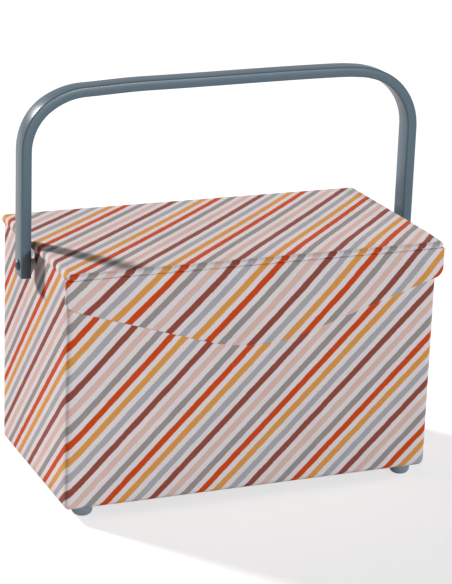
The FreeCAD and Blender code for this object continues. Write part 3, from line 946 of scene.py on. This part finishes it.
def swell(piece, low, high, side, rise, seam=None):
    """Crowns one face of a pad, with a shallow sewn channel round it and a little unevenness."""
    level = high.z if side > 0 else low.z
    for vertex in piece.data.vertices:
        if abs(vertex.co.z - level) > NEAR:
            continue
        room = min(vertex.co.x - low.x, high.x - vertex.co.x, vertex.co.y - low.y, high.y - vertex.co.y)
        share = min(1.0, room / PAD_SHOULDER)
        lift = rise * (1 - (1 - share) ** PAD_FULLNESS)
        lift += rise * PAD_LUMPS * share * noise.noise(vertex.co * PAD_LUMPS_PER_METRE)
        if seam:
            lift -= rise * CHANNEL_DEPTH * math.exp(-((room - seam) / CHANNEL_WIDTH) ** 2)
        vertex.co.z += side * lift


def make_wall_lining(finish):
    """Cloth-covered card round the inside of the walls."""
    low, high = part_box("wall_lining")
    piece = add_block("wall_lining_cloth", low, high)
    edit(piece)
    pick(piece, "FACE", lambda f: abs(f.normal.z) > SQUARE)
    bpy.ops.mesh.delete(type="FACE")
    close_edit()
    strip_rows(piece, LINING_ROWS)
    modify(piece, "SOLIDIFY", thickness=LINING_CARD, offset=-1, use_even_offset=True)
    modify(piece, "BEVEL", width=LINING_EDGE, segments=2, limit_method="ANGLE", angle_limit=SHARP)
    smooth(piece)
    dress(piece, "box", finish, "plain_cloth", ["wall_lining"])


def make_floor_pad(finish):
    """The loose padded panel on the floor of the box."""
    low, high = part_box("floor_pad")
    piece = add_pad("floor_cushion", low, high, corner=0.002, edge=PAD_EDGE, cell=0.0045)
    swell(piece, low, high, side=1, rise=0.0009)
    smooth(piece, degrees=60)
    dress(piece, "box", finish, "plain_cloth", ["floor_pad"])


def make_lid_panel(finish):
    """The padded panel under the lid, with one sewn channel round it."""
    low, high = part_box("lid_panel")
    piece = add_pad("lid_panel_cushion", low, high, corner=0.004, edge=PAD_EDGE, cell=0.0035)
    swell(piece, low, high, side=-1, rise=0.0014, seam=0.009)
    smooth(piece, degrees=60)
    dress(piece, "lid", finish, "plain_cloth", ["lid_panel"])


def pocket_depth(x, y, low, high):
    """How far the gathered pocket stands off the lid panel: full in its middle, in folds from its mouth."""
    down = max(0.0, y - low.y)
    at_sides = min(1.0, min(x - low.x, high.x - x) / POCKET_SIDE_ROOM)
    at_end = min(1.0, (high.y - y) / POCKET_END_ROOM)
    loose = max(0.0, at_sides * at_end)
    belly = 0.5 + 0.5 * math.sin(math.pi * min(1.0, down / (high.y - low.y)))
    puff = POCKET_PUFF * loose ** POCKET_SHOULDER * belly
    shift = FOLD_SHIFT * noise.noise(Vector((x * FOLD_SHIFTS_PER_METRE, 0, 3)))
    waver = FOLD_WAVER * noise.noise(Vector((x * FOLD_WAVERS_PER_METRE, y * FOLD_WAVERS_PER_METRE, 7)))
    phase = x * 2 * math.pi / FOLD_REPEAT + shift
    fall = math.exp(-down / FOLD_FALL) + FOLD_LEAST
    folds = FOLD_HEIGHT * fall * math.sin(phase + waver)
    return puff + loose * folds + POCKET_STAND_OFF


def make_lid_pocket(finish, band_finish):
    """The gathered pocket, sewn down on three sides, and the elastic band over its mouth."""
    low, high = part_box("lid_pocket")
    size = high - low
    band_first = low.y - ELASTIC_PROUD
    band_last = low.y + ELASTIC_WIDTH
    pieces = []
    for name, first, last, rows, proud, thickness in (
            ("gathered_pocket", low.y, high.y, POCKET_ROWS, 0.0, POCKET_CLOTH),
            ("pocket_band", band_first, band_last, ELASTIC_ROWS, ELASTIC_PROUD, ELASTIC_CLOTH)):
        bpy.ops.object.select_all(action="DESELECT")
        bpy.ops.mesh.primitive_grid_add(x_subdivisions=POCKET_CELLS, y_subdivisions=rows, size=1,
                                        location=((low.x + high.x) / 2, (first + last) / 2, high.z))
        bpy.context.object.scale = (size.x, last - first, 1)
        piece = named(name)
        for vertex in piece.data.vertices:
            across = (vertex.co.y - first) / (last - first)
            rounded = proud * math.sin(math.pi * across) ** 0.5 if proud and 0 < across < 1 else 0.0
            vertex.co.z -= pocket_depth(vertex.co.x, vertex.co.y, low, high) + rounded
        modify(piece, "SOLIDIFY", thickness=thickness, offset=0)
        turn_faces_out(piece)
        smooth(piece, degrees=60)
        pieces.append(piece)
    pocket, edging = pieces
    dress(pocket, "lid", finish, "plain_cloth", ["lid_pocket"])
    dress(edging, "lid", band_finish, "pincushion_cloth")


def make_pincushion(finish):
    """The stuffed pad on the lid panel, filled out by a cloth simulation."""
    low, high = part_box("pincushion")
    draw_in = Vector((STUFFING_ROOM, STUFFING_ROOM, 0))
    bottom = low.z + STUFFING_ROOM
    piece = add_block("stuffed_pincushion", low + draw_in + Vector((0, 0, STUFFING_ROOM)), high - draw_in)
    edit(piece)
    pick(piece, "EDGE", upright)
    bevel(PINCUSHION_CORNER, segments=5)
    pick(piece, "EDGE", lambda e: lies_at(e, 2, bottom))
    bevel(PINCUSHION_EDGE, segments=3)
    close_edit()
    modify(piece, "REMESH", mode="VOXEL", voxel_size=PINCUSHION_CELL, adaptivity=0)
    fill_out(piece, STUFFING_PRESSURE, STUFFING_CAP)
    for vertex in piece.data.vertices:
        vertex.co.z = min(vertex.co.z, high.z)
    modify(piece, "SUBSURF", levels=1, render_levels=1)
    smooth(piece, degrees=180)
    dress(piece, "lid", finish, "pincushion_cloth", ["pincushion"])


def fill_out(piece, pressure, cap):
    """Blows a closed mesh out as cloth, and keeps every point within a cap from where it began."""
    start = [vertex.co.copy() for vertex in piece.data.vertices]
    only(piece)
    cloth = piece.modifiers.new("fill", "CLOTH")
    cloth.settings.use_pressure = True
    cloth.settings.uniform_pressure_force = pressure
    cloth.settings.effector_weights.gravity = 0
    cloth.settings.quality = 6
    cloth.point_cache.frame_start = 1
    cloth.point_cache.frame_end = FILLING_FRAMES
    for frame in range(1, FILLING_FRAMES + 1):
        bpy.context.scene.frame_set(frame)
    bpy.ops.object.modifier_apply(modifier=cloth.name)
    for vertex, first in zip(piece.data.vertices, start):
        move = vertex.co - first
        if move.length > cap:
            vertex.co = first + move.normalized() * cap
    bpy.context.scene.frame_set(1)


def make_base_sheet(finish):
    """The felt sheet glued under the base."""
    low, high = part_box("base_cover")
    piece = add_block("base_felt", low - Vector((0, 0, FELT_PROUD)), high)
    edit(piece)
    pick(piece, "EDGE", upright)
    bevel(FELT_CORNER, segments=3)
    pick(piece, "EDGE", lambda e: lies_at(e, 2, low.z - FELT_PROUD))
    bevel(FELT_EDGE, segments=2)
    close_edit()
    smooth(piece)
    dress(piece, "box", finish, "base_sheet", ["base_cover"])


# Handle, feet and hardware

def make_handle(finish):
    """The bail handle: a flat band drawn up, round two bends and down again."""
    low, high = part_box("handle")
    middle_y = (low.y + high.y) / 2
    bend_z = high.z - BEND_RADIUS
    bpy.ops.object.select_all(action="DESELECT")
    bpy.ops.mesh.primitive_plane_add(size=1, location=(low.x + BAND / 2, middle_y, low.z))
    bpy.context.object.scale = (BAND, high.y - low.y + 2 * BAND_SWELL, 1)
    piece = named("handle_band")
    edit(piece)
    bpy.ops.mesh.select_all(action="SELECT")
    draw_band(0, bend_z - low.z)
    bend_band((low.x + BEND_RADIUS, middle_y, bend_z))
    run = high.x - low.x - 2 * BEND_RADIUS
    for _ in range(BAR_ROWS):
        draw_band(run / BAR_ROWS, 0)
    bend_band((high.x - BEND_RADIUS, middle_y, bend_z))
    draw_band(0, low.z - bend_z)
    close_edit()
    turn_faces_out(piece)
    lean_bar(piece, low, high)
    modify(piece, "BEVEL", width=BAND_EDGE, segments=3, limit_method="ANGLE", angle_limit=SHARP)
    smooth(piece)
    dress(piece, "handle", finish, "blue_plastic", ["handle"])


def draw_band(across, up):
    """Draws the open end of the handle's band on in a straight line."""
    bpy.ops.mesh.extrude_region_move(TRANSFORM_OT_translate={"value": (across, 0, up)})


def bend_band(centre):
    """Draws the open end of the band on through a quarter turn, from left to right."""
    bpy.ops.mesh.spin(steps=BEND_STEPS, angle=-math.pi / 2, center=centre, axis=(0, 1, 0))


def lean_bar(piece, low, high):
    """Lets the top bar sink a little after the left bend and rise towards the right one."""
    sink_places = [low.x + place for place in BAR_SINK_PLACES]
    rise_places = [low.x + BAR_RISE_FROM_LEFT] + [high.x - place for place in BAR_RISE_FROM_RIGHT]
    for vertex in piece.data.vertices:
        sink, rise = (fade(vertex.co.x, *places[:2]) * (1 - fade(vertex.co.x, *places[2:]))
                      for places in (sink_places, rise_places))
        vertex.co.z += BAR_RISE * rise - BAR_SINK * sink


def make_spacers(finish):
    """The two short collars that hold the handle off the walls."""
    low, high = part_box("handle_spacers")
    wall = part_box("body_cover")[1].x
    middle = (low + high) / 2
    for side, name in ((-1, "spacer_left"), (1, "spacer_right")):
        bpy.ops.object.select_all(action="DESELECT")
        bpy.ops.mesh.primitive_cylinder_add(vertices=32, radius=SPACER_RADIUS, depth=high.x - wall,
                                            location=(side * (wall + high.x) / 2, middle.y, middle.z),
                                            rotation=(0, math.pi / 2, 0))
        piece = named(name)
        edit(piece)
        pick(piece, "EDGE", lambda e: lies_at(e, 0, side * high.x) or lies_at(e, 0, side * wall))
        bevel(SPACER_EDGE, segments=2)
        close_edit()
        smooth(piece)
        dress(piece, "box", finish, "tray_plastic", ["handle_spacers"])


def make_feet(finish):
    """Four round feet, each a short cylinder with a large rounded lower edge."""
    low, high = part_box("body_cover")
    bpy.ops.object.select_all(action="DESELECT")
    first = Vector((low.x + FOOT_INSET[0], low.y + FOOT_INSET[1], low.z / 2))
    bpy.ops.mesh.primitive_cylinder_add(vertices=40, radius=FOOT_RADIUS, depth=low.z, location=first)
    piece = named("foot_front_left")
    edit(piece)
    pick(piece, "EDGE", lambda e: lies_at(e, 2, 0))
    bevel(FOOT_EDGE, segments=7)
    close_edit()
    smooth(piece)
    feet = [piece]
    across = high.x - low.x - 2 * FOOT_INSET[0]
    back = high.y - low.y - 2 * FOOT_INSET[1]
    for name, shift in (("foot_front_right", (across, 0, 0)), ("foot_back_left", (0, back, 0)),
                        ("foot_back_right", (across, back, 0))):
        other = piece.copy()
        other.data = piece.data.copy()
        other.data.transform(Matrix.Translation(Vector(shift)))
        other.name = name
        other.data.name = name
        bpy.context.scene.collection.objects.link(other)
        feet.append(other)
    for foot in feet:
        dress(foot, "box", finish, "blue_plastic", ["feet"])


# Studio

def add_floor():
    """A plain floor that glows up to white where it is seen and still takes the shadow."""
    bpy.ops.object.select_all(action="DESELECT")
    bpy.ops.mesh.primitive_plane_add(size=FLOOR_SIZE, location=(0, 0, 0))
    floor = named("floor")
    finish = Finish("floor_white", 0.9, specular=0.1)
    finish.surface.inputs["Base Color"].default_value = FLOOR_GREY
    tree = finish.tree
    path = finish.add("LightPath")
    seen = finish.sum("MAXIMUM", path.outputs["Is Camera Ray"], path.outputs["Is Glossy Ray"])
    seen = finish.sum("MAXIMUM", seen, path.outputs["Is Transmission Ray"])
    strength = finish.sum("MULTIPLY", seen, FLOOR_GLOW)
    glow = finish.add("Emission", {"Color": (1, 1, 1, 1), "Strength": strength})
    both = finish.add("AddShader", {0: finish.surface.outputs[0], 1: glow.outputs[0]})
    tree.links.new(both.outputs[0], tree.nodes["Material Output"].inputs["Surface"])
    floor.data.materials.append(finish.material)


def set_world():
    """An even surround: white where it is seen, greyer where it is mirrored or seen through, else dim."""
    world = bpy.data.worlds.new("surround")
    bpy.context.scene.world = world
    world.use_nodes = True
    tree = world.node_tree
    background = tree.nodes["Background"]
    path = tree.nodes.new("ShaderNodeLightPath")
    spread = tree.nodes.new("ShaderNodeMapRange")
    spread.inputs["To Min"].default_value = SURROUND_LEVEL
    spread.inputs["To Max"].default_value = 1.0
    tree.links.new(path.outputs["Is Camera Ray"], spread.inputs["Value"])
    bent = tree.nodes.new("ShaderNodeMath")
    bent.operation = "MAXIMUM"
    tree.links.new(path.outputs["Is Glossy Ray"], bent.inputs[0])
    tree.links.new(path.outputs["Is Transmission Ray"], bent.inputs[1])
    mirror = tree.nodes.new("ShaderNodeMath")
    mirror.operation = "MULTIPLY_ADD"
    mirror.inputs[1].default_value = SURROUND_MIRRORED - SURROUND_LEVEL
    tree.links.new(bent.outputs[0], mirror.inputs[0])
    tree.links.new(spread.outputs["Result"], mirror.inputs[2])
    tree.links.new(mirror.outputs[0], background.inputs["Strength"])
    background.inputs["Color"].default_value = (1, 1, 1, 1)


def add_sun(name, travels, strength, colour, width, mirrored=True):
    """A distant lamp whose light travels in one direction."""
    data = bpy.data.lights.new(name, "SUN")
    data.energy = strength
    data.color = colour
    data.angle = math.radians(width)
    lamp = bpy.data.objects.new(name, data)
    lamp.rotation_mode = "QUATERNION"
    lamp.rotation_quaternion = Vector(travels).to_track_quat("-Z", "Y")
    lamp.location = Vector(travels).normalized() * -LAMP_DISTANCE
    lamp.visible_glossy = mirrored
    bpy.context.scene.collection.objects.link(lamp)


def add_lamps():
    """The key lamp from behind at the left, and two fills, from the front and from the right."""
    add_sun("key", travels=(1.0, -1.4, -0.95), strength=4.20, colour=(1.0, 0.925, 0.915), width=7)
    add_sun("front_fill", travels=(-0.25, 1.0, -0.19), strength=1.92, colour=(1.0, 0.985, 1.0), width=5)
    add_sun("right_fill", travels=(-1.0, -0.05, -0.05), strength=1.3, colour=(1.0, 0.98, 0.98), width=30,
            mirrored=False)


def add_camera():
    """The camera at the photograph's place: a little to the left and above."""
    azimuth, elevation, roll = (math.radians(turn) for turn in CAMERA_TURNS)
    aside, above, away = CAMERA_STAND
    back = Vector((math.sin(azimuth) * math.cos(elevation), -math.cos(azimuth) * math.cos(elevation),
                   math.sin(elevation)))
    right = Vector((math.cos(azimuth), math.sin(azimuth), 0))
    up = back.cross(right)
    rolled_right = right * math.cos(roll) + up * math.sin(roll)
    rolled_up = up * math.cos(roll) - right * math.sin(roll)
    place = Vector(CAMERA_TARGET) - rolled_right * aside + rolled_up * above + back * away
    data = bpy.data.cameras.new("camera")
    data.sensor_width = SENSOR
    data.lens = FOCAL_PIXELS * SENSOR / PHOTO_HEIGHT
    data.clip_start = NEAR_CLIP
    data.clip_end = FAR_CLIP
    camera = bpy.data.objects.new("camera", data)
    turn = Matrix((rolled_right, rolled_up, back)).transposed()
    camera.matrix_world = Matrix.Translation(place) @ turn.to_4x4()
    bpy.context.scene.collection.objects.link(camera)
    bpy.context.scene.camera = camera


def build():
    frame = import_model()
    bpy.context.scene.view_settings.view_transform = "Standard"

    stripes = striped_cloth()
    lining = plain_cloth("lining_cloth", *LINING_TONES)
    pincushion = plain_cloth("pincushion_cloth", *PINCUSHION_TONES)
    board = grey_board()
    felt = felt_sheet()
    blue = moulded_plastic("blue_plastic", *HANDLE_TONES, roughness=0.33)
    # Feet in a paler blue, with the floor's reflected light painted into their colour
    foot_blue_with_floor_light = moulded_plastic("foot_plastic", *FOOT_TONES_WITH_FLOOR_LIGHT, roughness=0.45)
    pale = moulded_plastic("tray_plastic", *TRAY_TONES, roughness=0.42)
    painted = metal("painted_steel", SCREW_PAINT, roughness=0.42, metallic=0.2)
    bright = metal("bright_steel", BARE_STEEL, roughness=0.28)

    make_body_cloth(stripes)
    make_lid_cloth(stripes)
    make_flap_cloth(stripes)
    make_crease_cloth(stripes)
    make_hinge_cloth(stripes)
    make_flap_lining(lining)
    make_wall_lining(lining)
    make_floor_pad(lining)
    make_lid_panel(lining)
    make_lid_pocket(lining, pincushion)
    make_pincushion(pincushion)
    make_base_sheet(felt)
    make_handle(blue)
    make_spacers(pale)
    make_feet(foot_blue_with_floor_light)

    copies = (
        ("pivot_screws", "pivot_screw_pair", "box", painted, "painted_steel"),
        ("pivot_washers", "washer_pair", "box", bright, "bright_steel"),
        ("pivot_nuts", "cap_nut_pair", "box", bright, "bright_steel"),
        ("foot_screws", "foot_screw_set", "box", bright, "bright_steel"),
        ("tray", "lift_out_tray", "tray", pale, "tray_plastic"),
    )
    for node, name, body, finish, slot in copies:
        dress(smooth_copy(frame, node, name), body, finish, slot, [node])
    make_boards(frame, board)

    paint_nodes(frame, board, "tray_ledge_front", "tray_ledge_back", "flap_board")
    paint_nodes(frame, bright, "box_magnet", "flap_magnet")

    add_floor()
    set_world()
    add_lamps()
    add_camera()


build()
